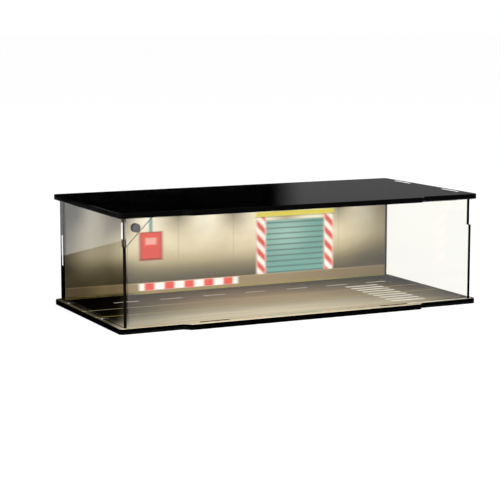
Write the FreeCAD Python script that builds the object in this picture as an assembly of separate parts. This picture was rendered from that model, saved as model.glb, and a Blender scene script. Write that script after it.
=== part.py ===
import FreeCAD, Part
import math
import os

# Flat-pack acrylic display case for a scale model.
# Two black plates hold clear walls by tabs in slots. A printed sheet lies on the base and another
# stands in front of the back wall. The clear front door stands on two tabs in the base, tips
# forward on its lower front edge, and closes on a magnet in the front top left corner.
# Millimetres. The origin is on the table under the middle of the case.
# +X points right, +Y to the back and +Z up.

# Whole case
case_width = 380.0
case_depth = 185.0
case_height = 110.0

# Black base and top plates, cut to one outline
base_thickness = 5.0
top_thickness = 5.0
plate_corner_radius = 4.0
plate_edge_break = 0.3
side_overhang = 5.0
rear_overhang = 6.0

# Front edge: its middle stands forward as a lip, with slanted ends
lip_depth = 6.0
lip_slant_run = 6.0
lip_end_margin = 11.0

# Printed sheets
floor_print_thickness = 0.3
floor_print_inset = 0.6
backdrop_thickness = 0.3
backdrop_side_gap = 0.3
backdrop_end_gap = 0.2

# Clear side panels, with tabs through the base and the top
side_thickness = 3.0
side_tab_length = 30.0
side_tab_pitch = 92.0

# Clear back panel, with one tab through each side panel
back_thickness = 3.0
back_setback = 4.0
back_tab_length = 30.0

# Clear corner plate in the front top left corner
corner_thickness = 3.0
corner_leg = 26.0
corner_tab_length = 15.0
corner_tab_drop = 11.5

# Magnets, one in the corner plate and one in the door
magnet_diameter = 8.0
magnet_thickness = 3.0
magnet_inset = 9.0

# Clear front door
door_thickness = 3.0
door_reveal = 0.7
door_side_inset = 0.2
door_corner_radius = 1.5
door_tab_length = 30.0
door_tab_pitch = 192.0
door_tab_ground_gap = 0.4

# Clearances
seat_gap = 0.05
slot_clearance = 0.1
magnet_clearance = 0.05
door_rear_gap = 0.3
door_top_gap = 0.5
door_floor_gap = 0.3
door_slot_front_clearance = 0.2
door_slot_swing_clearance = 0.3
door_slot_end_clearance = 0.3

# Heights
floor_z = base_thickness + seat_gap + floor_print_thickness
top_under_z = case_height - top_thickness
wall_low_z = floor_z + seat_gap
wall_high_z = top_under_z - seat_gap
wall_mid_z = (wall_low_z + wall_high_z) / 2
notch_low_z = top_under_z - corner_leg
magnet_z = top_under_z - magnet_inset
door_low_z = floor_z + door_floor_gap
door_high_z = top_under_z - door_top_gap

# Places across the width
plate_half_width = case_width / 2
side_outer_x = plate_half_width - side_overhang
side_inner_x = side_outer_x - side_thickness
magnet_x = magnet_inset - side_inner_x
door_half_width = side_outer_x - door_side_inset
lip_half_width = (door_tab_pitch + door_tab_length) / 2 + lip_end_margin

# Places along the depth, from the front edge to the back edge
lip_front_y = -case_depth / 2
ledge_front_y = lip_front_y + lip_depth
door_front_y = ledge_front_y + door_reveal
door_rear_y = door_front_y + door_thickness
wall_front_y = door_rear_y + door_rear_gap
notch_rear_y = wall_front_y + corner_thickness + slot_clearance
plate_rear_y = case_depth / 2
wall_rear_y = plate_rear_y - rear_overhang
back_rear_y = wall_rear_y - back_setback
back_front_y = back_rear_y - back_thickness
backdrop_rear_y = back_front_y - seat_gap
backdrop_front_y = backdrop_rear_y - backdrop_thickness

# The door turns on its lower front edge, and the slot leaves room for the tab's far corner
door_tab_low_z = door_tab_ground_gap
door_tab_drop = door_low_z - door_tab_low_z
door_tab_sweep = math.hypot(door_thickness, door_tab_drop)
door_slot_front_y = door_front_y - door_slot_front_clearance
door_slot_rear_y = door_front_y + door_tab_sweep + door_slot_swing_clearance

ACROSS = FreeCAD.Vector(1, 0, 0)
BACKWARD = FreeCAD.Vector(0, 1, 0)
UP = FreeCAD.Vector(0, 0, 1)


def point_yz(y, z):
    """A point of a profile that is drawn across the width."""
    return FreeCAD.Vector(0, y, z)


def point_xz(x, z):
    """A point of a profile that is drawn along the depth."""
    return FreeCAD.Vector(x, 0, z)


def rounded_wire(corners):
    """Closed wire through (point, radius) corners, with an arc wherever the radius isn't zero."""
    count = len(corners)
    spans = []
    for index, (point, radius) in enumerate(corners):
        before = (corners[index - 1][0] - point).normalize()
        after = (corners[(index + 1) % count][0] - point).normalize()
        half_angle = before.getAngle(after) / 2
        reach = radius / math.tan(half_angle)
        to_centre = (before + after).normalize()
        middle = point + to_centre * (radius / math.sin(half_angle) - radius)
        spans.append((point + before * reach, middle, point + after * reach, radius))
    edges = []
    for index, (start, middle, end, radius) in enumerate(spans):
        if radius > 0:
            edges.append(Part.Arc(start, middle, end).toShape())
        next_start = spans[(index + 1) % count][0]
        edges.append(Part.LineSegment(end, next_start).toShape())
    return Part.Wire(edges)


def sharp(points):
    """The same points as corners with no rounding."""
    return [(point, 0.0) for point in points]


def prism(corners, start, direction, length):
    """Solid of a flat profile, moved to its start and swept a length along a direction."""
    face = Part.Face(rounded_wire(corners))
    face.translate(direction * start)
    return face.extrude(direction * length)


def block(low, high):
    """Box between two corners, each given as (x, y, z)."""
    size = [end - begin for begin, end in zip(low, high)]
    return Part.makeBox(*size, FreeCAD.Vector(*low))


def pair_of(pitch):
    """The two centres of a pair, one on each side of zero."""
    return (-pitch / 2, pitch / 2)


def plate_corners(inset):
    """Outline of the plates, drawn in from their edge by an inset."""
    half_width = plate_half_width - inset
    rear_y = plate_rear_y - inset
    ledge_y = ledge_front_y + inset
    lip_y = lip_front_y + inset
    slant_angle = math.atan2(lip_depth, lip_slant_run)
    lip_half = lip_half_width - inset * math.tan(slant_angle / 2)
    radius = plate_corner_radius - inset
    outer = [(half_width, rear_y, radius), (half_width, ledge_y, radius)]
    lip = [(lip_half + lip_slant_run, ledge_y, 0.0), (lip_half, lip_y, 0.0)]
    right = outer + lip
    left = [(-x, y, corner_radius) for x, y, corner_radius in reversed(right)]
    return [(FreeCAD.Vector(x, y, 0), corner_radius) for x, y, corner_radius in right + left]


def break_edges(plate, low_z, high_z):
    """Small chamfer along the upper and lower rim of a plate."""
    rim = []
    for edge in plate.Edges:
        box = edge.BoundBox
        flat = box.ZLength < plate_edge_break
        if flat and (abs(box.ZMin - low_z) < plate_edge_break or abs(box.ZMax - high_z) < plate_edge_break):
            rim.append(edge)
    return plate.makeChamfer(plate_edge_break, rim)


def side_tab_slots(low_z, high_z):
    """Cutters for the tabs of both side panels through a plate or a sheet."""
    cutters = []
    half_length = side_tab_length / 2 + slot_clearance
    near_x = side_inner_x - slot_clearance
    far_x = side_outer_x + slot_clearance
    for centre_y in pair_of(side_tab_pitch):
        for left_x, right_x in ((-far_x, -near_x), (near_x, far_x)):
            low = (left_x, centre_y - half_length, low_z)
            high = (right_x, centre_y + half_length, high_z)
            cutters.append(block(low, high))
    return cutters


def door_slots(low_z, high_z):
    """Cutters for the door's two tabs, with room for the tabs to turn."""
    half_length = door_tab_length / 2 + door_slot_end_clearance
    cutters = []
    for centre_x in pair_of(door_tab_pitch):
        low = (centre_x - half_length, door_slot_front_y, low_z)
        high = (centre_x + half_length, door_slot_rear_y, high_z)
        cutters.append(block(low, high))
    return cutters


def base_plate():
    """Black base with slots for the side panels and the door."""
    plate = prism(plate_corners(0.0), 0.0, UP, base_thickness)
    plate = break_edges(plate, 0.0, base_thickness)
    cutters = side_tab_slots(0.0, base_thickness) + door_slots(0.0, base_thickness)
    return plate.cut(cutters)


def top_plate():
    """Black top with slots for the side panels."""
    plate = prism(plate_corners(0.0), top_under_z, UP, top_thickness)
    plate = break_edges(plate, top_under_z, case_height)
    return plate.cut(side_tab_slots(top_under_z, case_height))


def floor_print():
    """Printed sheet on the base, cut out wherever a tab goes through."""
    low_z = floor_z - floor_print_thickness
    sheet = prism(plate_corners(floor_print_inset), low_z, UP, floor_print_thickness)
    return sheet.cut(side_tab_slots(low_z, floor_z) + door_slots(low_z, floor_z))


def side_panel(low_x):
    """Clear side panel with tabs, a notch for a corner plate and a slot for the back panel."""
    outline = [
        point_yz(wall_front_y, wall_low_z),
        point_yz(wall_rear_y, wall_low_z),
        point_yz(wall_rear_y, wall_high_z),
        point_yz(notch_rear_y, wall_high_z),
        point_yz(notch_rear_y, notch_low_z),
        point_yz(wall_front_y, notch_low_z),
    ]
    panel = prism(sharp(outline), low_x, ACROSS, side_thickness)
    tabs = []
    for centre_y in pair_of(side_tab_pitch):
        for low_z, high_z in ((0.0, wall_low_z), (wall_high_z, case_height)):
            low = (low_x, centre_y - side_tab_length / 2, low_z)
            high = (low_x + side_thickness, centre_y + side_tab_length / 2, high_z)
            tabs.append(block(low, high))
    half_length = back_tab_length / 2 + slot_clearance
    slot_low = (low_x, back_front_y - slot_clearance, wall_mid_z - half_length)
    slot_high = (low_x + side_thickness, back_rear_y + slot_clearance, wall_mid_z + half_length)
    return panel.fuse(tabs).removeSplitter().cut(block(slot_low, slot_high))


def back_panel():
    """Clear back panel between the side panels, with a tab through each of them."""
    half_width = side_inner_x - seat_gap
    half_tab = back_tab_length / 2
    right = [
        (half_width, wall_low_z),
        (half_width, wall_mid_z - half_tab),
        (side_outer_x, wall_mid_z - half_tab),
        (side_outer_x, wall_mid_z + half_tab),
        (half_width, wall_mid_z + half_tab),
        (half_width, wall_high_z),
    ]
    left = [(-x, z) for x, z in reversed(right)]
    outline = [point_xz(x, z) for x, z in right + left]
    return prism(sharp(outline), back_front_y, BACKWARD, back_thickness)


def backdrop_print():
    """Printed sheet that stands on the floor in front of the back panel."""
    half_width = side_inner_x - backdrop_side_gap
    low = (-half_width, backdrop_front_y, wall_low_z)
    high = (half_width, backdrop_rear_y, wall_high_z - backdrop_end_gap)
    return block(low, high)


def magnet_bore(front_y, depth):
    """Cutter for a magnet's hole through a sheet."""
    radius = magnet_diameter / 2 + magnet_clearance
    return Part.makeCylinder(radius, depth, FreeCAD.Vector(magnet_x, front_y, magnet_z), BACKWARD)


def magnet(front_y):
    """Disc magnet with a small chamfer on both rims."""
    place = FreeCAD.Vector(magnet_x, front_y, magnet_z)
    disc = Part.makeCylinder(magnet_diameter / 2, magnet_thickness, place, BACKWARD)
    rims = [edge for edge in disc.Edges if edge.isClosed()]
    return disc.makeChamfer(plate_edge_break, rims)


def corner_plate():
    """Clear triangle under the top, with a tab in the left panel's notch and a magnet hole."""
    inner_x = -side_inner_x
    tab_mid_z = top_under_z - corner_tab_drop
    tab_low_z = tab_mid_z - corner_tab_length / 2
    tab_high_z = tab_mid_z + corner_tab_length / 2
    outline = [
        point_xz(inner_x, notch_low_z),
        point_xz(inner_x + corner_leg, wall_high_z),
        point_xz(inner_x, wall_high_z),
        point_xz(inner_x, tab_high_z),
        point_xz(-side_outer_x, tab_high_z),
        point_xz(-side_outer_x, tab_low_z),
        point_xz(inner_x, tab_low_z),
    ]
    plate = prism(sharp(outline), wall_front_y, BACKWARD, corner_thickness)
    return plate.cut(magnet_bore(wall_front_y, corner_thickness))


def front_door():
    """Clear door with two tabs below and a magnet hole in its top left corner."""
    outline = [
        (point_xz(-door_half_width, door_low_z), 0.0),
        (point_xz(door_half_width, door_low_z), 0.0),
        (point_xz(door_half_width, door_high_z), door_corner_radius),
        (point_xz(-door_half_width, door_high_z), door_corner_radius),
    ]
    door = prism(outline, door_front_y, BACKWARD, door_thickness)
    tabs = []
    for centre_x in pair_of(door_tab_pitch):
        low = (centre_x - door_tab_length / 2, door_front_y, door_tab_low_z)
        high = (centre_x + door_tab_length / 2, door_rear_y, door_low_z)
        tabs.append(block(low, high))
    door = door.fuse(tabs).removeSplitter()
    return door.cut(magnet_bore(door_front_y, door_thickness))


pieces = {
    "base_plate": base_plate(),
    "floor_print": floor_print(),
    "left_panel": side_panel(-side_outer_x),
    "right_panel": side_panel(side_inner_x),
    "back_panel": back_panel(),
    "backdrop_print": backdrop_print(),
    "corner_plate": corner_plate(),
    "corner_magnet": magnet(wall_front_y),
    "front_door": front_door(),
    "door_magnet": magnet(door_rear_y - magnet_thickness),
    "top_plate": top_plate(),
}

os.makedirs("parts", exist_ok=True)
for node, shape in pieces.items():
    shape.exportStep(f"parts/{node}.step")
    box = shape.BoundBox
    extent = f"{box.XLength:.2f} x {box.YLength:.2f} x {box.ZLength:.2f} mm"
    print(f"{node}: {len(shape.Solids)} solid, valid {shape.isValid()}, {extent}, {shape.Volume:.1f} mm3")
print(f"door turns on y {door_front_y:.3f}, z {door_low_z:.3f}")
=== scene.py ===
"""Flat-pack display case for a scale model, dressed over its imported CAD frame.

Black cast acrylic plates hold clear slotted walls, two printed vinyl sheets and a tip-out door with a magnet
catch. The case is given in millimetres, which turn to metres where Blender gets them. The studio is given in
metres.
"""

import logging
import math
from dataclasses import dataclass
from enum import Enum

import bmesh
import bpy
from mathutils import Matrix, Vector


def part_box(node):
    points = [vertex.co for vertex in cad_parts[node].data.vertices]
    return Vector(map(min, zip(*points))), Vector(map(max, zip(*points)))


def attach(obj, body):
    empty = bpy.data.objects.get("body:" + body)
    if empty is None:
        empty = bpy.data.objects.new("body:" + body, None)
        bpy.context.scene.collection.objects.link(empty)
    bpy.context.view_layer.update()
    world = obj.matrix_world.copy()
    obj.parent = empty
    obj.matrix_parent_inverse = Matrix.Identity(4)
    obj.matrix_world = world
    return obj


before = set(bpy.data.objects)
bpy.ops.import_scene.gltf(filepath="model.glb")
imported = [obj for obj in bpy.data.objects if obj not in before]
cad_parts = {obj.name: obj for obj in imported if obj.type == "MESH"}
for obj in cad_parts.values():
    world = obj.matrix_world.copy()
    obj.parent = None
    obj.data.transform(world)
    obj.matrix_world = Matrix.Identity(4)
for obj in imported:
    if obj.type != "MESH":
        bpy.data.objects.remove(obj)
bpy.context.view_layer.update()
MM = 0.001
ACRYLIC_IOR = 1.49
# Most of a noise texture's values lie in this span.
NOISE_SPAN = (0.3, 0.7)
# Wider than either print, in millimetres, for what runs off both its ends.
PAST_ENDS = 400.0
LOG = logging.getLogger("display_case")

Pair = tuple[float, float]
Triple = tuple[float, float, float]
Feed = float | tuple | bpy.types.Node | bpy.types.NodeSocket


def linear(hex_colour: str) -> tuple[float, float, float, float]:
    """Turns an sRGB hex colour into linear RGBA.

    Args:
        hex_colour: Six hex digits, with or without a leading hash.

    Returns:
        Linear red, green, blue and an alpha of 1.
    """
    digits = hex_colour.lstrip("#")
    parts = [int(digits[i : i + 2], 16) / 255 for i in (0, 2, 4)]
    red, green, blue = (c / 12.92 if c <= 0.04045 else ((c + 0.055) / 1.055) ** 2.4 for c in parts)
    return (red, green, blue, 1.0)


def add_node(
    tree: bpy.types.NodeTree, kind: str, feeds: dict[str | int, Feed] | None = None, **settings: object
) -> bpy.types.Node:
    """Adds a node, sets it up and feeds its inputs.

    Args:
        tree: The node tree that gets the node.
        kind: The node's type name.
        feeds: For each input, by name or number, a plain value, a socket, or a node for its first output.
        settings: The node's own settings.

    Returns:
        The new node.
    """
    node = tree.nodes.new(kind)
    for name, value in settings.items():
        setattr(node, name, value)
    for key, feed in (feeds or {}).items():
        socket = node.inputs[key]
        if isinstance(feed, bpy.types.Node):
            tree.links.new(feed.outputs[0], socket)
        elif isinstance(feed, bpy.types.NodeSocket):
            tree.links.new(feed, socket)
        else:
            socket.default_value = feed
    return node


def new_material(name: str) -> tuple[bpy.types.Material, bpy.types.NodeTree]:
    """Makes an empty node material.

    Args:
        name: The material's name.

    Returns:
        The material and its cleared node tree.
    """
    material = bpy.data.materials.new(name)
    material.use_nodes = True
    material.node_tree.nodes.clear()
    return material, material.node_tree


def wear(material: bpy.types.Material, *nodes: str) -> None:
    """Puts a material on CAD nodes.

    Args:
        material: The finish to put on.
        nodes: The nodes' names.
    """
    for name in nodes:
        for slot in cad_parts[name].material_slots:
            slot.material = material
        LOG.info("%s wears %s", name, material.name)


def above(limit: float) -> Pair:
    """Gives the span from a limit up."""
    return (limit, math.inf)


def below(limit: float) -> Pair:
    """Gives the span up to a limit."""
    return (-math.inf, limit)


ANYWHERE: Pair = (-math.inf, math.inf)
ALONG_X: Triple = (1.0, 0.0, 0.0)
ALONG_Y: Triple = (0.0, 1.0, 0.0)
ALONG_Z: Triple = (0.0, 0.0, 1.0)
ALONG_MITRE: Triple = (math.sqrt(0.5), 0.0, -math.sqrt(0.5))


class Cut(Enum):
    """How part of a clear sheet looks: its colour, its roughness from and to, and its specular level.

    A laser-cut edge pipes light from the black plates, so it looks black: that black is a painted shade, and
    it turns to a painted warm dark where the edge picks up the print's light. The same painted dark stands
    for the shade on a foot in its slot and on the wall of a magnet's hole. A sawn end scatters light, so it
    looks white.
    A polished strip painted black stands for the shade beside the backdrop. A bonded face has no mirror and
    no values of its own, because it is one with what lies behind it.
    """

    # Painted dark: black that stands for piped light and shade, not a colour of the sheet.
    PAINTED_DARK = ("#030303", 0.2, 0.3, 0.06)
    SAWN = ("#F6F7F5", 0.45, 0.7, 0.06)
    # Painted shade, polished to a gloss.
    PAINTED_GLOSSY_SHADE = ("#030303", 0.02, 0.03, 0.3)
    # Painted warm dark: the print's light that an edge picks up.
    PAINTED_WARM_DARK = ("#4A4233", 0.2, 0.3, 0.06)
    BONDED = None


@dataclass(frozen=True)
class Zone:
    """Part of a clear sheet with a cut finish of its own.

    Its faces lie within the three spans. They look either way along the normal, or anywhere when it has none.
    """

    cut: Cut
    normal: Triple | None = None
    x: Pair = ANYWHERE
    y: Pair = ANYWHERE
    z: Pair = ANYWHERE


def bore_zones(disc: tuple[Vector, Vector], margin: float = 0.2) -> tuple[Zone, ...]:
    """Finds the wall of the hole that a disc magnet sits in, which is painted dark as shade.

    Args:
        disc: The magnet's lowest and highest corners in metres.
        margin: How far past the magnet the wall may lie.

    Returns:
        One zone for each way that the wall looks.
    """
    low, high = disc
    across = (low.x / MM - margin, high.x / MM + margin)
    upright = (low.z / MM - margin, high.z / MM + margin)
    turns = [math.radians(angle) for angle in (0, 45, 90, 135)]
    normals = [(math.cos(turn), 0.0, math.sin(turn)) for turn in turns]
    return tuple(Zone(Cut.PAINTED_DARK, normal, x=across, z=upright) for normal in normals)


class SheetPlane(Enum):
    """The plane that a printed sheet lies in, by the number of its second axis."""

    FLOOR = 1
    WALL = 2


@dataclass(frozen=True)
class BlackCastAcrylic:
    """Black cast acrylic with its polished faces: a deep black that mirrors the studio at grazing angles.

    Wiping leaves wide marks in the gloss, and dust leaves specks in it. For both, a span of noise runs from
    no mark to a full one. The specks are drawn coarser than real dust, so that they show.
    """

    name: str = "black_cast_acrylic_polished"
    colour: str = "#020202"
    specular: float = 0.06
    roughness: Pair = (0.045, 0.07)
    wiped: Pair = (0.35, 0.7)
    wiped_mm: float = 38.0
    dusty: Pair = (0.72, 0.82)
    dust_mm: float = 0.7
    dust_roughness: float = 0.05
    dust_relief: float = 0.02
    relief_mm: float = 0.02

    def make(self) -> bpy.types.Material:
        """Builds the material with faint wiping marks and dust in its gloss.

        Returns:
            The finished material.
        """
        material, tree = new_material(self.name)
        place = add_node(tree, "ShaderNodeTexCoord").outputs["Object"]
        wiping = {"Vector": place, "Scale": 1 / (self.wiped_mm * MM), "Detail": 3.0}
        dusting = {"Vector": place, "Scale": 1 / (self.dust_mm * MM), "Detail": 1.0}
        haze = add_node(tree, "ShaderNodeTexNoise", wiping)
        dust = add_node(tree, "ShaderNodeTexNoise", dusting)
        feeds = {0: haze, 1: self.wiped[0], 2: self.wiped[1], 3: self.roughness[0], 4: self.roughness[1]}
        wiped = add_node(tree, "ShaderNodeMapRange", feeds)
        feeds = {0: dust, 1: self.dusty[0], 2: self.dusty[1], 3: 0.0, 4: self.dust_roughness}
        specks = add_node(tree, "ShaderNodeMapRange", feeds)
        gloss = add_node(tree, "ShaderNodeMath", {0: wiped, 1: specks}, operation="ADD")
        feeds = {"Height": dust, "Strength": self.dust_relief, "Distance": self.relief_mm * MM}
        bump = add_node(tree, "ShaderNodeBump", feeds)
        body = add_node(
            tree,
            "ShaderNodeBsdfPrincipled",
            {
                "Base Color": linear(self.colour),
                "Roughness": gloss,
                "IOR": ACRYLIC_IOR,
                "Specular IOR Level": self.specular,
                "Normal": bump,
            },
        )
        add_node(tree, "ShaderNodeOutputMaterial", {"Surface": body})
        return material


@dataclass(frozen=True)
class ClearCastAcrylic:
    """Clear cast acrylic: polished faces that mirror a little of the studio, dark edges and frosted tab ends.

    Attributes:
        name: The material's name.
        zones: The cut faces. Where zones overlap, the last one holds.
        tint: The sheet's own colour.
        ior: Its index, which sets how much it mirrors.
        grain_mm: The grain that cutting leaves, drawn coarser than the real one so that it shows.
        squareness: How squarely a face has to look along a zone's normal.
    """

    name: str
    zones: tuple[Zone, ...] = ()
    tint: str = "#FFFFFF"
    ior: float = ACRYLIC_IOR
    grain_mm: float = 0.5
    squareness: float = 0.9

    def make(self) -> bpy.types.Material:
        """Builds the polished sheet, lets lamps through it, and finishes its cut faces.

        Returns:
            The finished material.
        """
        material, tree = new_material(self.name)
        glass = add_node(
            tree,
            "ShaderNodeBsdfPrincipled",
            {
                "Base Color": linear(self.tint),
                "Roughness": 0.0,
                "IOR": self.ior,
                "Transmission Weight": 1.0,
            },
        )
        rays = add_node(tree, "ShaderNodeLightPath").outputs
        feeds = {0: rays["Is Shadow Ray"], 1: rays["Is Diffuse Ray"]}
        open_rays = add_node(tree, "ShaderNodeMath", feeds, operation="MAXIMUM")
        clear = add_node(tree, "ShaderNodeBsdfTransparent", {"Color": linear(self.tint)})
        surface = add_node(tree, "ShaderNodeMixShader", {0: open_rays, 1: glass, 2: clear})
        for zone in self.zones:
            there = self.mask(tree, zone)
            cut = self.cut_surface(tree, zone.cut)
            surface = add_node(tree, "ShaderNodeMixShader", {0: there, 1: surface, 2: cut})
        add_node(tree, "ShaderNodeOutputMaterial", {"Surface": surface})
        return material

    def mask(self, tree: bpy.types.NodeTree, zone: Zone) -> bpy.types.Node:
        """Masks a zone of the sheet.

        Args:
            tree: The material's nodes.
            zone: The part to find, with at least one limit or a normal.

        Returns:
            A mask that is 1 there and 0 elsewhere.
        """
        coords = add_node(tree, "ShaderNodeTexCoord").outputs
        feeds = {0: coords["Object"], "Scale": 1 / MM}
        place = add_node(tree, "ShaderNodeVectorMath", feeds, operation="SCALE")
        parts = add_node(tree, "ShaderNodeSeparateXYZ", {0: place}).outputs
        steps = []
        for value, span in zip(parts, (zone.x, zone.y, zone.z)):
            for limit, test in zip(span, ("GREATER_THAN", "LESS_THAN")):
                if math.isfinite(limit):
                    steps.append(add_node(tree, "ShaderNodeMath", {0: value, 1: limit}, operation=test))
        if zone.normal:
            feeds = {0: coords["Normal"], 1: zone.normal}
            along = add_node(tree, "ShaderNodeVectorMath", feeds, operation="DOT_PRODUCT").outputs["Value"]
            folded = add_node(tree, "ShaderNodeMath", {0: along}, operation="ABSOLUTE")
            feeds = {0: folded, 1: self.squareness}
            steps.append(add_node(tree, "ShaderNodeMath", feeds, operation="GREATER_THAN"))
        found = steps[0]
        for step in steps[1:]:
            found = add_node(tree, "ShaderNodeMath", {0: found, 1: step}, operation="MULTIPLY")
        return found

    def cut_surface(self, tree: bpy.types.NodeTree, cut: Cut) -> bpy.types.Node:
        """Makes the surface of a cut, with the fine grain that the cutting left.

        Args:
            tree: The material's nodes.
            cut: How the cut looks.

        Returns:
            The cut's shader.
        """
        if cut is Cut.BONDED:
            return add_node(tree, "ShaderNodeBsdfTransparent")
        colour, low, high, specular = cut.value
        place = add_node(tree, "ShaderNodeTexCoord").outputs["Object"]
        grain = add_node(tree, "ShaderNodeTexNoise", {"Vector": place, "Scale": 1 / (self.grain_mm * MM)})
        feeds = {0: grain, 1: NOISE_SPAN[0], 2: NOISE_SPAN[1], 3: low, 4: high}
        rough = add_node(tree, "ShaderNodeMapRange", feeds)
        return add_node(
            tree,
            "ShaderNodeBsdfPrincipled",
            {
                "Base Color": linear(colour),
                "Roughness": rough,
                "IOR": ACRYLIC_IOR,
                "Specular IOR Level": specular,
            },
        )


@dataclass(frozen=True)
class SatinNickel:
    """Satin nickel plate on a disc magnet: a grey metal with turned rings that soften what it mirrors.

    The rings are drawn wider apart than real ones, so that they show. The disc's side gets a painted shade.
    """

    name: str
    colour: str
    # The colour of the disc's side: a painted shade.
    rim: str = "#161617"
    centre: Pair = (-173.0, 96.0)
    ring_mm: float = 0.45
    roughness: Pair = (0.28, 0.42)
    ring_relief: float = 0.1
    relief_mm: float = 0.02

    def make(self) -> bpy.types.Material:
        """Builds the metal with its turning rings round the disc's centre.

        Returns:
            The finished material.
        """
        material, tree = new_material(self.name)
        coords = add_node(tree, "ShaderNodeTexCoord").outputs
        middle = (self.centre[0] * MM, 0.0, self.centre[1] * MM)
        away = add_node(tree, "ShaderNodeVectorMath", {0: coords["Object"], 1: middle}, operation="SUBTRACT")
        flat = add_node(tree, "ShaderNodeVectorMath", {0: away, 1: (1.0, 0.0, 1.0)}, operation="MULTIPLY")
        radius = add_node(tree, "ShaderNodeVectorMath", {0: flat}, operation="LENGTH").outputs["Value"]
        feeds = {0: radius, 1: 2 * math.pi / (self.ring_mm * MM)}
        turns = add_node(tree, "ShaderNodeMath", feeds, operation="MULTIPLY")
        rings = add_node(tree, "ShaderNodeMath", {0: turns}, operation="SINE")
        feeds = {0: rings, 1: -1.0, 2: 1.0, 3: self.roughness[0], 4: self.roughness[1]}
        rough = add_node(tree, "ShaderNodeMapRange", feeds)
        feeds = {"Height": rings, "Strength": self.ring_relief, "Distance": self.relief_mm * MM}
        bump = add_node(tree, "ShaderNodeBump", feeds)
        # The flat faces keep the nickel, and the side turns to the painted shade of the rim.
        looks = add_node(tree, "ShaderNodeSeparateXYZ", {0: coords["Normal"]})
        flat_on = add_node(tree, "ShaderNodeMath", {0: looks.outputs[1]}, operation="ABSOLUTE")
        feeds = {0: flat_on, 6: linear(self.rim), 7: linear(self.colour)}
        plate = add_node(tree, "ShaderNodeMix", feeds, data_type="RGBA")
        body = add_node(
            tree,
            "ShaderNodeBsdfPrincipled",
            {"Base Color": plate.outputs[2], "Metallic": 1.0, "Roughness": rough, "Normal": bump},
        )
        add_node(tree, "ShaderNodeOutputMaterial", {"Surface": body})
        return material


@dataclass(frozen=True)
class Shade:
    """An ink that fades in across a sheet, up it, or both: its cover, and where each fade starts and ends."""

    colour: str
    strength: float
    across: Pair | None = None
    up: Pair | None = None


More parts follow.
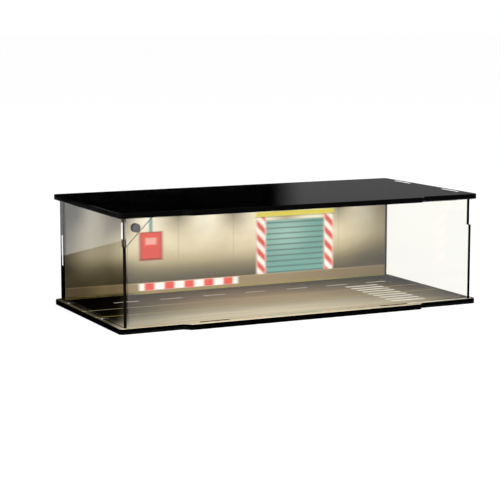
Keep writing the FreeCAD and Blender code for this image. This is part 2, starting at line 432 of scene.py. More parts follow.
class InkSheet:
    """Lays soft-edged inks over each other on a sheet, by its own Object coordinates in millimetres."""

    def __init__(self, tree: bpy.types.NodeTree, plane: SheetPlane, base: str) -> None:
        """Starts a sheet.

        Args:
            tree: The material's nodes.
            plane: The plane that the sheet lies in.
            base: The ink that covers the whole sheet.
        """
        self.tree = tree
        place = add_node(tree, "ShaderNodeTexCoord").outputs["Object"]
        self.mm = add_node(tree, "ShaderNodeVectorMath", {0: place, "Scale": 1 / MM}, operation="SCALE")
        parts = add_node(tree, "ShaderNodeSeparateXYZ", {0: self.mm})
        self.across = parts.outputs[0]
        self.up = parts.outputs[plane.value]
        self.deep = parts.outputs[3 - plane.value]
        self.spot = add_node(tree, "ShaderNodeCombineXYZ", {0: self.across, 1: self.up})
        self.ink: Feed = linear(base)

    def patch(self, centre: Pair, size: Pair, blur: Pair) -> bpy.types.Node:
        """Masks a soft-edged rectangle.

        Args:
            centre: The middle of the patch.
            size: Its width and height.
            blur: How far each edge spreads, across and up.

        Returns:
            A mask from 0 to 1.
        """
        half = (size[0] / 2, size[1] / 2, 0.0)
        feeds = {0: self.spot, 1: (*centre, 0.0)}
        away = add_node(self.tree, "ShaderNodeVectorMath", feeds, operation="SUBTRACT")
        folded = add_node(self.tree, "ShaderNodeVectorMath", {0: away}, operation="ABSOLUTE")
        over = add_node(self.tree, "ShaderNodeVectorMath", {0: folded, 1: half}, operation="SUBTRACT")
        scaled = add_node(self.tree, "ShaderNodeVectorMath", {0: over, 1: (*blur, 1.0)}, operation="DIVIDE")
        parts = add_node(self.tree, "ShaderNodeSeparateXYZ", {0: scaled}).outputs
        worst = add_node(self.tree, "ShaderNodeMath", {0: parts[0], 1: parts[1]}, operation="MAXIMUM")
        return self.fade(worst, 1.0, -1.0)

    def fade(self, value: Feed, low: float, high: float) -> bpy.types.Node:
        """Masks a smooth rise from 0 at low to 1 at high."""
        feeds = {0: value, 1: low, 2: high, 3: 0.0, 4: 1.0}
        return add_node(self.tree, "ShaderNodeMapRange", feeds, interpolation_type="SMOOTHSTEP")

    def marks(self, value: Feed, pitch: float, width: float, start: float, blur: float) -> bpy.types.Node:
        """Masks marks that repeat along a value.

        Args:
            value: The coordinate that they repeat along.
            pitch: From one mark's middle to the next.
            width: Each mark's width.
            start: The middle of one mark.
            blur: How far each edge spreads.

        Returns:
            A mask from 0 to 1.
        """
        moved = add_node(self.tree, "ShaderNodeMath", {0: value, 1: start}, operation="SUBTRACT")
        folded = add_node(self.tree, "ShaderNodeMath", {0: moved, 1: pitch / 2}, operation="PINGPONG")
        return self.fade(folded, width / 2 + blur, width / 2 - blur)

    def pool(self, centre: Pair, reach: Pair) -> bpy.types.Node:
        """Masks a round pool of light.

        Args:
            centre: The middle of the pool.
            reach: How far it spreads, across and up.

        Returns:
            A mask from 0 to 1.
        """
        feeds = {0: self.spot, 1: (*centre, 0.0)}
        away = add_node(self.tree, "ShaderNodeVectorMath", feeds, operation="SUBTRACT")
        scaled = add_node(self.tree, "ShaderNodeVectorMath", {0: away, 1: (*reach, 1.0)}, operation="DIVIDE")
        far = add_node(self.tree, "ShaderNodeVectorMath", {0: scaled}, operation="LENGTH").outputs["Value"]
        return self.fade(far, 1.0, 0.0)

    def grain(self, size: Triple, detail: float = 2.0) -> bpy.types.Node:
        """Gives noise whose blotches have the size asked for, in millimetres along X, Y and Z."""
        place = add_node(self.tree, "ShaderNodeVectorMath", {0: self.mm, 1: size}, operation="DIVIDE")
        return add_node(self.tree, "ShaderNodeTexNoise", {"Vector": place, "Scale": 1.0, "Detail": detail})

    def lay(self, colour: str, *masks: Feed, strength: float = 1.0) -> None:
        """Prints an ink over what is there.

        Args:
            colour: The ink.
            masks: Where it goes, all multiplied.
            strength: How much of it covers.
        """
        cover: Feed = strength
        for mask in masks:
            cover = add_node(self.tree, "ShaderNodeMath", {0: cover, 1: mask}, operation="MULTIPLY")
        feeds = {0: cover, 6: self.ink, 7: linear(colour)}
        self.ink = add_node(self.tree, "ShaderNodeMix", feeds, data_type="RGBA").outputs[2]

    def block(self, colour: str, centre: Pair, size: Pair, blur: Pair, strength: float = 1.0) -> None:
        """Prints a soft-edged rectangle of ink, given as for a patch."""
        self.lay(colour, self.patch(centre, size, blur), strength=strength)

    def shade(self, *shades: Shade) -> None:
        """Prints inks that fade in along the sheet.

        Args:
            shades: The inks, in the order that they are printed in.
        """
        for shade in shades:
            spans = ((self.across, shade.across), (self.up, shade.up))
            masks = [self.fade(value, *span) for value, span in spans if span]
            self.lay(shade.colour, *masks, strength=shade.strength)


@dataclass(frozen=True)
class PrintedVinyl:
    """Printed vinyl: ink under a thin film whose fine orange peel softens the shine.

    Where a sheet's back shows, it is plain from the depth back_from on.
    """

    name: str
    plane: SheetPlane
    base: str
    specular: float = 0.15
    back_from: float = math.inf
    back_blend: float = 0.02
    back: str = "#DEDAD0"
    ior: float = 1.46
    roughness: Pair = (0.42, 0.55)
    peel_mm: float = 0.8
    peel_relief: float = 0.02
    relief_mm: float = 0.02

    def make(self) -> bpy.types.Material:
        """Builds the film over the sheet's own picture.

        Returns:
            The finished material.
        """
        material, tree = new_material(self.name)
        sheet = InkSheet(tree, self.plane, self.base)
        self.paint(sheet)
        if math.isfinite(self.back_from):
            behind = (self.back_from - self.back_blend, self.back_from + self.back_blend)
            sheet.lay(self.back, sheet.fade(sheet.deep, *behind))
        peel = sheet.grain((self.peel_mm,) * 3, 1.0)
        feeds = {0: peel, 1: NOISE_SPAN[0], 2: NOISE_SPAN[1], 3: self.roughness[0], 4: self.roughness[1]}
        rough = add_node(tree, "ShaderNodeMapRange", feeds)
        feeds = {"Height": peel, "Strength": self.peel_relief, "Distance": self.relief_mm * MM}
        bump = add_node(tree, "ShaderNodeBump", feeds)
        film = add_node(
            tree,
            "ShaderNodeBsdfPrincipled",
            {
                "Base Color": sheet.ink,
                "Roughness": rough,
                "IOR": self.ior,
                "Specular IOR Level": self.specular,
                "Normal": bump,
            },
        )
        add_node(tree, "ShaderNodeOutputMaterial", {"Surface": film})
        return material

    def paint(self, sheet: InkSheet) -> None:
        """Leaves the sheet in its base ink."""


@dataclass(frozen=True)
class RoadPrint(PrintedVinyl):
    """The floor's picture: a dark road at the back that runs out to pale concrete at the front.

    Attributes:
        shadow: The ink of the painted shadow along the left side.
        slant: How far that shade's edge leans across for each step towards the back.
        slot_end_glints: How far back the left panel's slots end, each with a painted white glint.
    """

    shadow: str = "#050403"
    slant: float = 0.39
    slot_end_glints: Pair = (61.8, -30.2)

    def paint(self, sheet: InkSheet) -> None:
        """Prints the road, its light, its streaks and its long lines, a painted shadow along the left side
        and painted white glints at the ends of the left slots.

        Args:
            sheet: The sheet to print on.
        """
        streak = sheet.fade(sheet.grain((70.0, 2.2, 1.0), 3.0), 0.3, 0.72)
        speckle = sheet.fade(sheet.grain((1.1, 1.1, 1.1), 2.0), 0.45, 0.75)
        middle = sheet.pool((8.0, 4.0), (200.0, 270.0))
        near = sheet.pool((-30.0, -80.0), (250.0, 150.0))
        sheet.lay("#957E5E", sheet.fade(sheet.up, 108.0, 42.0), middle)
        sheet.lay("#C0A880", sheet.fade(sheet.up, 52.0, -24.0), middle)
        sheet.shade(Shade("#6A6250", 0.6, up=(10.0, -44.0)))
        sheet.lay("#DCCFB0", sheet.fade(sheet.up, 6.0, -60.0), near)
        sheet.shade(
            Shade("#CFC2A4", 0.45, up=(-50.0, -86.0)),
            Shade("#2A261E", 0.7, across=(112.0, 186.0), up=(0.0, -70.0)),
        )
        sheet.lay("#15130E", streak, strength=0.2)
        sheet.lay("#D8CFB4", speckle, strength=0.06)
        # Painted shadow along the left side: a faint wide one, then a deep one whose edge leans across
        # towards the back.
        sheet.shade(Shade(self.shadow, 0.18, across=(-106.0, -156.0), up=(-88.0, -30.0)))
        feeds = {0: sheet.up, 1: -self.slant, 2: sheet.across}
        leaning = add_node(sheet.tree, "ShaderNodeMath", feeds, operation="MULTIPLY_ADD")
        side = sheet.fade(leaning, -143.0, -160.0)
        sheet.lay(self.shadow, side, sheet.fade(sheet.up, -90.0, -34.0), strength=0.96)
        sheet.block("#564E40", (-188.0, 25.0), (5.0, 150.0), (0.6, 14.0), 0.85)
        # A painted white glint at the end of each left slot.
        for slot_end in self.slot_end_glints:
            sheet.block("#FFFFFF", (-186.2, slot_end), (1.6, 2.8), (0.3, 0.4))
        sheet.block("#B5AE88", (0.0, 13.0), (PAST_ENDS, 1.7), (1.0, 0.9), 0.8)
        sheet.block("#BDB05A", (0.0, -22.0), (PAST_ENDS, 1.5), (1.0, 0.8), 0.75)


@dataclass(frozen=True)
class WallPrint(PrintedVinyl):
    """The backdrop's picture: a lamp-washed concrete wall behind a kerb, with a shuttered gate.

    Attributes:
        bay: From one lamp, or one panel joint, to the next.
        gate: The middle of the gate.
        posts: The middles of its posts.
        cabinet: The middle of the hose cabinet.
        dark_end: The middle of the painted shade over the wall's left end.
        red: The red of the stripes and blocks.
        white: The white between them.
        shadow: The ink of the painted shade over the wall's left end.
        deep_shade: The deeper ink of the painted shade over its foot.
        kerb_shade: The ink that shades the kerb's ends.
    """

    bay: float = 62.0
    gate: float = 72.0
    posts: Pair = (32.0, 112.0)
    cabinet: float = -92.0
    dark_end: float = -127.0
    red: str = "#E44A38"
    white: str = "#FFF6EA"
    shadow: str = "#1C180F"
    deep_shade: str = "#14110A"
    kerb_shade: str = "#3C3222"

    def paint(self, sheet: InkSheet) -> None:
        """Prints the wall, then what stands in front of it, then the painted shade over its ends.

        Args:
            sheet: The sheet to print on.
        """
        self.paint_wall(sheet)
        self.paint_gate(sheet)
        self.paint_cabinet(sheet)
        self.paint_kerb(sheet)
        self.paint_shading(sheet)

    def paint_wall(self, sheet: InkSheet) -> None:
        """Prints the concrete, its panel joints, the light that falls on it and the painted shade at its
        ends.

        Args:
            sheet: The sheet to print on.
        """
        blotch = sheet.fade(sheet.grain((26.0, 26.0, 18.0), 4.0), *NOISE_SPAN)
        lamps = sheet.marks(sheet.across, self.bay, 22.0, -self.bay / 2, 20.0)
        gaps = sheet.marks(sheet.across, self.bay, 22.0, 0.0, 15.0)
        joints = sheet.marks(sheet.across, self.bay, 0.5, 0.0, 0.7)
        sheet.shade(Shade("#C6B68A", 1.0, up=(14.0, 46.0)), Shade("#F1E3BE", 0.94, up=(28.0, 60.0)))
        sheet.lay("#FFFAE6", lamps, sheet.fade(sheet.up, 44.0, 82.0), strength=0.85)
        sheet.lay("#3E3622", gaps, sheet.fade(sheet.up, 56.0, 92.0), strength=0.92)
        # Painted shade over the wall's left end, deepest in its top left corner under the top plate. Towards
        # the right end and the foot the wall also grows darker.
        sheet.shade(
            Shade("#564C34", 0.86, across=(108.0, 188.0)),
            Shade(self.shadow, 0.56, across=(-106.0, -140.0)),
            Shade(self.shadow, 0.2, across=(-112.0, -136.0), up=(46.0, 76.0)),
            Shade(self.deep_shade, 0.36, across=(-84.0, -128.0), up=(51.0, 32.0)),
            Shade(self.deep_shade, 0.85, across=(116.0, 184.0), up=(56.0, 22.0)),
            Shade("#100D08", 0.85, across=(-152.0, -184.0)),
            Shade("#0E0C08", 0.95, across=(-150.0, -176.0), up=(70.0, 94.0)),
            Shade("#3E3722", 0.4, up=(48.0, 16.0)),
        )
        sheet.lay("#7B6C49", blotch, strength=0.12)
        sheet.lay("#5B4F34", joints, strength=0.3)

    def paint_gate(self, sheet: InkSheet) -> None:
        """Prints the shuttered gate between its striped posts.

        Args:
            sheet: The sheet to print on.
        """
        shutter = sheet.patch((self.gate, 44.0), (70.0, 58.0), (3.0, 1.0))
        sheet.lay("#6FA398", shutter)
        sheet.lay("#B4D8CB", shutter, sheet.pool((60.0, 58.0), (42.0, 34.0)), strength=0.6)
        sheet.lay("#2F5049", shutter, sheet.marks(sheet.up, 5.8, 1.3, 18.0, 0.9), strength=0.75)
        slope = add_node(sheet.tree, "ShaderNodeMath", {0: sheet.across, 1: sheet.up}, operation="ADD")
        for middle in self.posts:
            post = sheet.patch((middle, 46.5), (10.0, 63.0), (2.4, 0.9))
            sheet.lay(self.white, post)
            sheet.lay(self.red, post, sheet.marks(slope, 14.0, 7.0, 0.0, 2.2))
        sheet.block("#DDCF3A", (self.gate, 79.5), (92.0, 5.0), (3.0, 0.9))
        sheet.block("#8C7F2A", (self.gate, 76.6), (92.0, 0.8), (3.0, 0.7), 0.7)

    def paint_cabinet(self, sheet: InkSheet) -> None:
        """Prints the plain red hose cabinet and the pipe that feeds it.

        Args:
            sheet: The sheet to print on.
        """
        sheet.block("#5E8C83", (self.cabinet, 86.0), (3.4, 44.0), (1.6, 0.8), 0.9)
        sheet.block("#93B9AE", (self.cabinet - 0.8, 86.0), (0.8, 44.0), (0.8, 0.8), 0.8)
        sheet.block("#9C3529", (self.cabinet, 54.0), (25.0, 29.0), (2.6, 0.9))
        sheet.block("#E64E3C", (self.cabinet, 54.5), (22.0, 26.0), (2.4, 0.9))
        sheet.block("#F7B3A2", (self.cabinet, 59.0), (12.0, 7.0), (2.0, 0.9), 0.9)

    def paint_kerb(self, sheet: InkSheet) -> None:
        """Prints the kerb, its yellow line and a run of red and white blocks on it.

        Args:
            sheet: The sheet to print on.
        """
        kerb = sheet.patch((0.0, 10.5), (PAST_ENDS, 13.0), (1.0, 0.5))
        sheet.lay("#917C57", kerb)
        sheet.block("#B8A57D", (0.0, 16.4), (PAST_ENDS, 1.0), (1.0, 0.4), 0.5)
        sheet.lay(self.kerb_shade, kerb, sheet.fade(sheet.across, -106.0, -168.0), strength=0.88)
        sheet.lay(self.kerb_shade, kerb, sheet.fade(sheet.across, 30.0, 222.0), strength=0.75)
        blocks = sheet.patch((-50.0, 12.6), (110.0, 7.2), (2.8, 0.7))
        sheet.lay(self.white, blocks)
        sheet.lay(self.red, blocks, sheet.marks(sheet.across, 22.0, 11.0, -6.0, 2.2))
        worn = sheet.fade(sheet.grain((9.0, 9.0, 1.6), 2.0), 0.38, 0.56)
        line = sheet.patch((0.0, 6.6), (PAST_ENDS, 2.4), (1.0, 0.5))
        sheet.lay("#8E842F", line, worn, strength=0.9)

    def paint_shading(self, sheet: InkSheet) -> None:
        """Prints a painted shade over the kerb's foot at both ends and over the wall's left end.

        Args:
            sheet: The sheet to print on.
        """
        foot = sheet.patch((0.0, 5.6), (PAST_ENDS, 4.6), (1.0, 1.4))
        sheet.lay(self.deep_shade, foot, sheet.fade(sheet.across, -90.0, -130.0), strength=0.8)
        sheet.lay(self.deep_shade, foot, sheet.fade(sheet.across, 90.0, 170.0), strength=0.55)
        sheet.block(self.shadow, (self.dark_end, 84.0), (22.0, 26.0), (9.0, 12.0), 0.34)
        sheet.block(self.shadow, (self.dark_end, 18.0), (22.0, 32.0), (9.0, 10.0), 0.26)


@dataclass(frozen=True)
class RoadInk(PrintedVinyl):
    """White marking ink, printed a little proud of the road: worn through in streaks along the traffic."""

    def paint(self, sheet: InkSheet) -> None:
        """Prints the wear."""
        worn = sheet.fade(sheet.grain((16.0, 1.6, 1.0), 3.0), 0.42, 0.7)
        sheet.lay("#6E6753", worn, strength=0.55)


@dataclass
class BlackPlates:
    """The base and the top, two plates of 5 mm sheet."""

    nodes: tuple[str, ...] = ("base_plate", "top_plate")
    finish: BlackCastAcrylic = BlackCastAcrylic()

    def build(self) -> None:
        """Dresses both plates."""
        wear(self.finish.make(), *self.nodes)


@dataclass
class ClearWalls:
    """The side panels, the back panel and the corner plate, cut from 3 mm clear sheet.

    Attributes:
        left: The left panel's node.
        right: The right panel's node.
        cross: The nodes of the sheets that stand across the case.
        magnet: The node of the magnet in the corner plate.
        side_ior: The side panels' index, set low because they mirror only a faint haze.
        right_painted_reflection: The right panel's faint warm tint, a painted reflection of the backdrop's
            beige.
        foot: Below this height a panel's foot is painted dark, as shade in its slot.
        tab_height: Above this height the right panel's tabs show their sawn ends.
        tab_reach: This far out the back panel and the corner plate show their sawn tab ends.
        back_zone: Behind this depth the side panels are painted a polished black, as shade.
        notch_floor: Above this height lies the left panel's notch.
        notch_back: In front of this depth lies the left panel's notch.
    """

    left: str = "left_panel"
    right: str = "right_panel"
    cross: tuple[str, ...] = ("back_panel", "corner_plate")
    magnet: str = "corner_magnet"
    side_ior: float = 1.2
    right_painted_reflection: str = "#FFFEF7"
    foot: float = 5.5
    tab_height: float = 106.0
    tab_reach: float = 184.5
    back_zone: float = 78.5
    notch_floor: float = 79.5
    notch_back: float = -78.0

    def build(self) -> None:
        """Dresses the sheets by the way that their cut faces look."""
        # Painted shade: the dark edges, feet and back strip. Painted warm dark: the left notch and the corner
        # plate's mitre, where they pick up the print's light.
        side = (
            Zone(Cut.PAINTED_DARK, ALONG_Y),
            Zone(Cut.PAINTED_DARK, z=below(self.foot)),
            Zone(Cut.PAINTED_GLOSSY_SHADE, y=above(self.back_zone)),
        )
        notch = Zone(Cut.PAINTED_WARM_DARK, ALONG_Y, y=below(self.notch_back), z=above(self.notch_floor))
        top_tabs = Zone(Cut.SAWN, ALONG_Z, z=above(self.tab_height))
        cross = (
            Zone(Cut.PAINTED_DARK, ALONG_X),
            Zone(Cut.SAWN, ALONG_X, x=below(-self.tab_reach)),
            Zone(Cut.SAWN, ALONG_X, x=above(self.tab_reach)),
            Zone(Cut.PAINTED_WARM_DARK, ALONG_MITRE),
            *bore_zones(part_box(self.magnet)),
        )
        left = ClearCastAcrylic("clear_cast_acrylic_left", (*side, notch), ior=self.side_ior)
        # The right panel's warm tint is a painted reflection of the backdrop's beige.
        right = ClearCastAcrylic(
            "clear_cast_acrylic_right", (*side, top_tabs), tint=self.right_painted_reflection, ior=self.side_ior
        )
        wear(left.make(), self.left)
        wear(right.make(), self.right)
        wear(ClearCastAcrylic("clear_cast_acrylic_cross", cross).make(), *self.cross)


@dataclass
class TipOutDoor:
    """The clear door and the magnet catch that holds its corner.

    Attributes:
        door: The door's node.
        door_magnet: The node of the magnet in the door.
        corner_magnet: The node of the magnet that it meets.
        seat: This far out the door's rims are bonded to the view of the side panels' front edges.
        notch: Above this height the side panels are notched behind the door.
        left_lean: How much wider the left rim is on the back face.
        right_lean: How much wider the right rim is on the front face.
        notch_lean: How much wider the right rim is beside the notch, on the front and the back face.
        skin: How deep a zone of the door's front or back face reaches.
        foot: Below this height the door's tabs are painted dark, as shade in their slots.
        nickel: The colour of the door's magnet.
        nickel_shaded: The colour of the corner's magnet, painted darker as the door's shade that it lies in.
    """

    door: str = "front_door"
    door_magnet: str = "door_magnet"
    corner_magnet: str = "corner_magnet"
    seat: float = 181.95
    notch: float = 79.0
    left_lean: float = 1.15
    right_lean: float = 2.05
    notch_lean: Pair = (4.4, 2.4)
    skin: float = 0.1
    foot: float = 5.5
    nickel: str = "#747478"
    nickel_shaded: str = "#2C2C2E"

    def build(self) -> None:
        """Dresses the door and both magnets."""
        low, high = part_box(self.door)
        front = below(low.y / MM + self.skin)
        back = above(high.y / MM - self.skin)
        left = below(-self.seat)
        right = above(self.seat)
        notch_front, notch_back = (above(self.seat - lean) for lean in self.notch_lean)
        zones = (
            Zone(Cut.BONDED, x=left, y=front, z=below(self.notch)),
            Zone(Cut.BONDED, x=above(self.seat - self.right_lean), y=front),
            Zone(Cut.BONDED, x=below(-self.seat + self.left_lean), y=back, z=below(self.notch)),
            Zone(Cut.BONDED, x=right, y=back),
            Zone(Cut.BONDED, x=notch_front, y=front, z=above(self.notch)),
            Zone(Cut.BONDED, x=notch_back, y=back, z=above(self.notch)),
            Zone(Cut.BONDED, ALONG_X, x=left, z=below(self.notch)),
            Zone(Cut.BONDED, ALONG_X, x=right),
            # Painted shade: the left end above the notch, the tabs in their slots and the wall of the
            # magnet's hole.
            Zone(Cut.PAINTED_DARK, ALONG_X, x=left, z=above(self.notch)),
            Zone(Cut.PAINTED_DARK, z=below(self.foot)),
            *bore_zones(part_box(self.door_magnet)),
        )
        wear(ClearCastAcrylic("clear_cast_acrylic_door", zones).make(), self.door)
        wear(SatinNickel("satin_nickel_plate", self.nickel).make(), self.door_magnet)
        # The corner's magnet wears a darker copy of the nickel, as a painted shade.
        wear(SatinNickel("satin_nickel_plate_shaded", self.nickel_shaded).make(), self.corner_magnet)


@dataclass(frozen=True)
class MarkRow:
    """A row of equal road marks: where the first one lies, the step to the next, and their size."""

    name: str
    count: int
    first: Pair
    step: Pair
    size: Pair


@dataclass
class PrintedSheets:
    """The floor and backdrop prints, and the raised marking ink on the road.

    Attributes:
        floor: The floor print's node.
        backdrop: The backdrop print's node.
        asphalt: The ink under the floor's picture.
        concrete: The ink under the backdrop's picture.
        marking: The white of the road marks.
        ink_height: How thick the marks are.
        ink_lift: How far they lie above the sheet.
        rows: The rows of marks.
    """

    floor: str = "floor_print"
    backdrop: str = "backdrop_print"
    asphalt: str = "#0D0C0A"
    concrete: str = "#4A4028"
    marking: str = "#E4DECC"
    ink_height: float = 0.02
    ink_lift: float = 0.004
    rows: tuple[MarkRow, ...] = (
        MarkRow("lane_dashes", 7, (-132.0, 44.0), (47.0, 0.0), (24.0, 2.6)),
        MarkRow("crossing_bars", 9, (124.0, -64.0), (0.0, 11.5), (38.0, 6.2)),
    )

    def build(self) -> None:
        """Dresses the sheets and lays the road marks."""
        road = RoadPrint("matt_vinyl_road_print", SheetPlane.FLOOR, self.asphalt, specular=0.0)
        wear(road.make(), self.floor)
        low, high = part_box(self.backdrop)
        middle = (low.y + high.y) / 2 / MM
        wall = WallPrint("satin_vinyl_wall_print", SheetPlane.WALL, self.concrete, back_from=middle)
        wear(wall.make(), self.backdrop)
        ink = RoadInk("raised_white_marking_ink", SheetPlane.FLOOR, self.marking, specular=0.0).make()
        tree = self.mark_tree()
        for row in self.rows:
            self.lay_row(row, tree, ink)

    def mark_tree(self) -> bpy.types.NodeTree:
        """Builds the Geometry Nodes tree that sets out a row of equal marks.

        Returns:
            The tree, with named inputs for the row's sizes.
        """
        tree = bpy.data.node_groups.new("road_mark_row", "GeometryNodeTree")
        face = tree.interface
        face.new_socket("Count", in_out="INPUT", socket_type="NodeSocketInt")
        for name in ("First", "Step", "Size"):
            face.new_socket(name, in_out="INPUT", socket_type="NodeSocketVector")
        face.new_socket("Ink", in_out="INPUT", socket_type="NodeSocketMaterial")
        face.new_socket("Geometry", in_out="OUTPUT", socket_type="NodeSocketGeometry")
        given = add_node(tree, "NodeGroupInput").outputs
        line = add_node(
            tree,
            "GeometryNodeMeshLine",
            {"Count": given["Count"], "Start Location": given["First"], "Offset": given["Step"]},
            mode="OFFSET",
        )
        mark = add_node(tree, "GeometryNodeMeshCube", {"Size": given["Size"]})
        placed = add_node(tree, "GeometryNodeInstanceOnPoints", {"Points": line, "Instance": mark})
        real = add_node(tree, "GeometryNodeRealizeInstances", {0: placed})
        inked = add_node(tree, "GeometryNodeSetMaterial", {"Geometry": real, "Material": given["Ink"]})
        add_node(tree, "NodeGroupOutput", {"Geometry": inked})
        return tree

    def lay_row(self, row: MarkRow, tree: bpy.types.NodeTree, ink: bpy.types.Material) -> None:
        """Makes one row of marks as a plain mesh that rides on the case.

        Args:
            row: The row to make.
            tree: The tree that sets it out.
            ink: The marks' finish.
        """
        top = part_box(self.floor)[1].z
        middle = top + (self.ink_lift + self.ink_height / 2) * MM
        sizes = {
            "Count": row.count,
            "First": (row.first[0] * MM, row.first[1] * MM, middle),
            "Step": (row.step[0] * MM, row.step[1] * MM, 0.0),
            "Size": (row.size[0] * MM, row.size[1] * MM, self.ink_height * MM),
            "Ink": ink,
        }
        piece = bpy.data.objects.new(row.name, bpy.data.meshes.new(row.name))
        bpy.context.scene.collection.objects.link(piece)
        setter = piece.modifiers.new("set_out", "NODES")
        setter.node_group = tree
        for item in tree.interface.items_tree:
            if item.in_out == "INPUT":
                setter[item.identifier] = sizes[item.name]
        ready = piece.evaluated_get(bpy.context.evaluated_depsgraph_get())
        mesh = bpy.data.meshes.new_from_object(ready)
        piece.modifiers.remove(setter)
        piece.data = mesh
        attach(piece, "case")
        LOG.info("%s has %d marks", row.name, row.count)


@dataclass(frozen=True)
class Softbox:
    """A softbox: where it hangs, its size, its tip from straight down in degrees, and its power."""

    name: str
    place: Triple
    size: Pair
    tip: float
    watts: float


@dataclass
class Studio:
    """The white floor and surroundings, the lamps, the cards that shape reflections, and the camera.

    Attributes:
        floor_half: Half the floor's width.
        floor_paint: The floor's colour as light meets it.
        floor_albedo: How much of the light the camera sees on it, so that shadows show.
        floor_glow: What it adds to reach white.
        footprint: Half the width and depth of the floor that the base covers and keeps dark.
        ambient: The surroundings' strength as light.
        lamps: The softboxes.
        top_card: The corners of the card behind the case.
        card_turn: Where along X that card turns from black to grey.
        card_grey: That card's grey.
        floor_cards: The corners of the black cards on the floor.
        card_lift: How far they lie above it.
        camera_place: Where the camera stands.
        camera_turn: Its azimuth and its fall, in degrees.
        lens_mm: Its focal length.
        sensor_mm: Its sensor's width.
    """

    floor_half: float = 30.0
    floor_paint: str = "#E8E8E8"
    floor_albedo: float = 0.46
    floor_glow: float = 0.62
    footprint: Pair = (0.183, 0.0863)
    ambient: float = 0.8
    lamps: tuple[Softbox, ...] = (
        Softbox("low_strip_softbox", (0.0, -0.62, 0.065), (1.7, 0.12), 92.0, 4.9),
        Softbox("front_softbox", (0.0, -1.25, 0.80), (2.2, 0.5), 60.0, 25.0),
    )
    top_card: tuple[Triple, ...] = ((-0.6, 0.5, 0.14), (1.2, 0.5, 0.14), (1.2, 0.5, 0.30), (-0.6, 0.5, 0.30))
    card_turn: Pair = (0.252, 0.312)
    card_grey: str = "#737373"
    floor_cards: tuple[tuple[Pair, ...], ...] = (
        ((-0.19, -0.20), (-0.19, 0.314), (-0.62, 0.670), (-0.85, -0.20)),
        ((-0.20, -0.120), (0.26, -0.120), (0.26, -0.0935), (-0.20, -0.0935)),
        ((0.02, -1.00), (0.95, -1.00), (0.95, -0.878), (0.02, -0.878)),
        ((-0.58, 0.60), (-0.4945, 0.60), (-0.4945, 1.16), (-0.58, 1.16)),
    )
    card_lift: float = 0.0004
    camera_place: Triple = (-0.7003, -1.4057, 0.2790)
    camera_turn: Pair = (-25.869, 8.140)
    lens_mm: float = 115.23
    sensor_mm: float = 36.0

    def build(self) -> None:
        """Sets the whole studio up."""
        self.build_floor()
        self.build_world()
        self.build_lamps()
        self.build_cards()
        self.build_camera()
        bpy.context.scene.view_settings.view_transform = "Standard"

    def seen_rays(self, tree: bpy.types.NodeTree) -> bpy.types.Node:
        """Finds the rays that show the background to the camera, straight, mirrored or through glass.

        Args:
            tree: The nodes of the floor or the world.

        Returns:
            A mask that is 1 for those rays.
        """
        rays = add_node(tree, "ShaderNodeLightPath").outputs
        feeds = {0: rays["Is Camera Ray"], 1: rays["Is Glossy Ray"]}
        direct = add_node(tree, "ShaderNodeMath", feeds, operation="MAXIMUM")
        feeds = {0: direct, 1: rays["Is Transmission Ray"]}
        return add_node(tree, "ShaderNodeMath", feeds, operation="MAXIMUM")

    def card(self, name: str, corners: tuple[Triple, ...], material: bpy.types.Material) -> bpy.types.Object:
        """Makes a flat stage card.

        Args:
            name: The card's name.
            corners: Its corners, in order.
            material: Its finish.

        Returns:
            The card.
        """
        mesh = bpy.data.meshes.new(name)
        shape = bmesh.new()
        shape.faces.new([shape.verts.new(corner) for corner in corners])
        shape.to_mesh(mesh)
        shape.free()
        mesh.materials.append(material)
        made = bpy.data.objects.new(name, mesh)
        bpy.context.scene.collection.objects.link(made)
        return made

    def past_base(self, tree: bpy.types.NodeTree) -> bpy.types.Node:
        """Finds the floor that the base leaves bare.

        Args:
            tree: The floor's nodes.

        Returns:
            A mask that is 0 under the base and 1 elsewhere.
        """
        place = add_node(tree, "ShaderNodeTexCoord").outputs["Object"]
        folded = add_node(tree, "ShaderNodeVectorMath", {0: place}, operation="ABSOLUTE")
        feeds = {0: folded, 1: (*self.footprint, 0.0)}
        past = add_node(tree, "ShaderNodeVectorMath", feeds, operation="SUBTRACT")
        ways = add_node(tree, "ShaderNodeSeparateXYZ", {0: past}).outputs
        out = add_node(tree, "ShaderNodeMath", {0: ways[0], 1: ways[1]}, operation="MAXIMUM")
        return add_node(tree, "ShaderNodeMath", {0: out, 1: 0.0}, operation="GREATER_THAN")

    def build_floor(self) -> None:
        """Lays a white floor that glows to the camera, takes the case's shadow and is dark under the base."""
        material, tree = new_material("white_studio_floor")
        paint = add_node(tree, "ShaderNodeBsdfDiffuse", {"Color": linear(self.floor_paint)})
        seen = add_node(tree, "ShaderNodeBsdfDiffuse", {"Color": (self.floor_albedo,) * 3 + (1.0,)})
        glow = add_node(tree, "ShaderNodeEmission", {"Strength": self.floor_glow})
        lit = add_node(tree, "ShaderNodeAddShader", {0: seen, 1: glow})
        both = add_node(tree, "ShaderNodeMixShader", {0: self.seen_rays(tree), 1: paint, 2: lit})
        white = add_node(tree, "ShaderNodeEmission", {"Strength": 1.0})
        mirrored = add_node(tree, "ShaderNodeLightPath").outputs["Is Glossy Ray"]
        bare = add_node(tree, "ShaderNodeMixShader", {0: mirrored, 1: both, 2: white})
        floor = add_node(tree, "ShaderNodeMixShader", {0: self.past_base(tree), 1: paint, 2: bare})
        add_node(tree, "ShaderNodeOutputMaterial", {"Surface": floor})
        half = self.floor_half
        corners = ((-half, -half, 0.0), (half, -half, 0.0), (half, half, 0.0), (-half, half, 0.0))
        self.card("studio_floor", corners, material)

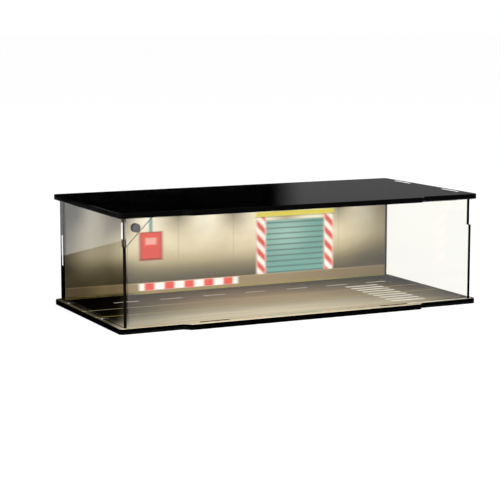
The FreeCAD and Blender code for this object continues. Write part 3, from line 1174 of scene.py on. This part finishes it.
    def build_world(self) -> None:
        """Surrounds the case with white, at a plain level as light."""
        world = bpy.data.worlds.new("white_surround")
        world.use_nodes = True
        tree = world.node_tree
        tree.nodes.clear()
        light = add_node(tree, "ShaderNodeBackground", {"Color": linear("#FFFFFF"), "Strength": self.ambient})
        white = add_node(tree, "ShaderNodeBackground", {"Color": linear("#FFFFFF"), "Strength": 1.0})
        both = add_node(tree, "ShaderNodeMixShader", {0: self.seen_rays(tree), 1: light, 2: white})
        add_node(tree, "ShaderNodeOutputWorld", {"Surface": both})
        bpy.context.scene.world = world

    def build_lamps(self) -> None:
        """Hangs the softboxes: a low strip for the backdrop, and one above for the road."""
        for box in self.lamps:
            lamp = bpy.data.lights.new(box.name, "AREA")
            lamp.shape = "RECTANGLE"
            lamp.size, lamp.size_y = box.size
            lamp.energy = box.watts
            made = bpy.data.objects.new(box.name, lamp)
            made.location = box.place
            made.rotation_euler = (math.radians(box.tip), 0.0, 0.0)
            made.visible_camera = False
            made.visible_glossy = False
            made.visible_transmission = False
            bpy.context.scene.collection.objects.link(made)

    def mirrored_only(self, tree: bpy.types.NodeTree, shader: bpy.types.Node) -> None:
        """Shows a card's shader only to rays that a surface has mirrored, and lets all others through.

        Args:
            tree: The card's nodes.
            shader: What mirrored rays see.
        """
        # The depth counts the mirrors that a ray has met, so a limit of half tells one from none.
        mirrors = add_node(tree, "ShaderNodeLightPath").outputs["Glossy Depth"]
        turned = add_node(tree, "ShaderNodeMath", {0: mirrors, 1: 0.5}, operation="GREATER_THAN")
        clear = add_node(tree, "ShaderNodeBsdfTransparent")
        both = add_node(tree, "ShaderNodeMixShader", {0: turned, 1: clear, 2: shader})
        add_node(tree, "ShaderNodeOutputMaterial", {"Surface": both})

    def build_cards(self) -> None:
        """Sets the cards that only mirrors see: one behind for the top plate, and black ones on the floor."""
        graded, tree = new_material("reflection_card_graded")
        place = add_node(tree, "ShaderNodeTexCoord").outputs["Object"]
        along = add_node(tree, "ShaderNodeSeparateXYZ", {0: place}).outputs[0]
        feeds = {0: along, 1: self.card_turn[0], 2: self.card_turn[1], 3: 0.0, 4: 1.0}
        turn = add_node(tree, "ShaderNodeMapRange", feeds, interpolation_type="SMOOTHSTEP")
        feeds = {0: turn, 6: linear("#000000"), 7: linear(self.card_grey)}
        shade = add_node(tree, "ShaderNodeMix", feeds, data_type="RGBA")
        self.mirrored_only(tree, add_node(tree, "ShaderNodeEmission", {"Color": shade.outputs[2]}))
        black, tree = new_material("reflection_card_black")
        self.mirrored_only(tree, add_node(tree, "ShaderNodeEmission", {"Color": linear("#000000")}))
        cards = [self.card("card_behind", self.top_card, graded)]
        for number, outline in enumerate(self.floor_cards):
            corners = tuple((*corner, self.card_lift) for corner in outline)
            cards.append(self.card(f"card_floor_{number}", corners, black))
        for made in cards:
            made.visible_camera = False
            made.visible_diffuse = False
            made.visible_shadow = False

    def build_camera(self) -> None:
        """Sets the camera where the photograph was taken from."""
        lens = bpy.data.cameras.new("camera")
        lens.lens = self.lens_mm
        lens.sensor_width = self.sensor_mm
        made = bpy.data.objects.new("camera", lens)
        made.location = self.camera_place
        azimuth, fall = self.camera_turn
        made.rotation_euler = (math.radians(90.0 - fall), 0.0, math.radians(azimuth))
        bpy.context.scene.collection.objects.link(made)
        bpy.context.scene.camera = made


def main() -> None:
    """Builds and dresses the case, then the studio."""
    logging.basicConfig(level=logging.INFO, format="%(name)s: %(message)s")
    for assembly in (BlackPlates(), PrintedSheets(), ClearWalls(), TipOutDoor(), Studio()):
        assembly.build()
        LOG.info("%s done", type(assembly).__name__)


if __name__ == "__main__":
    main()
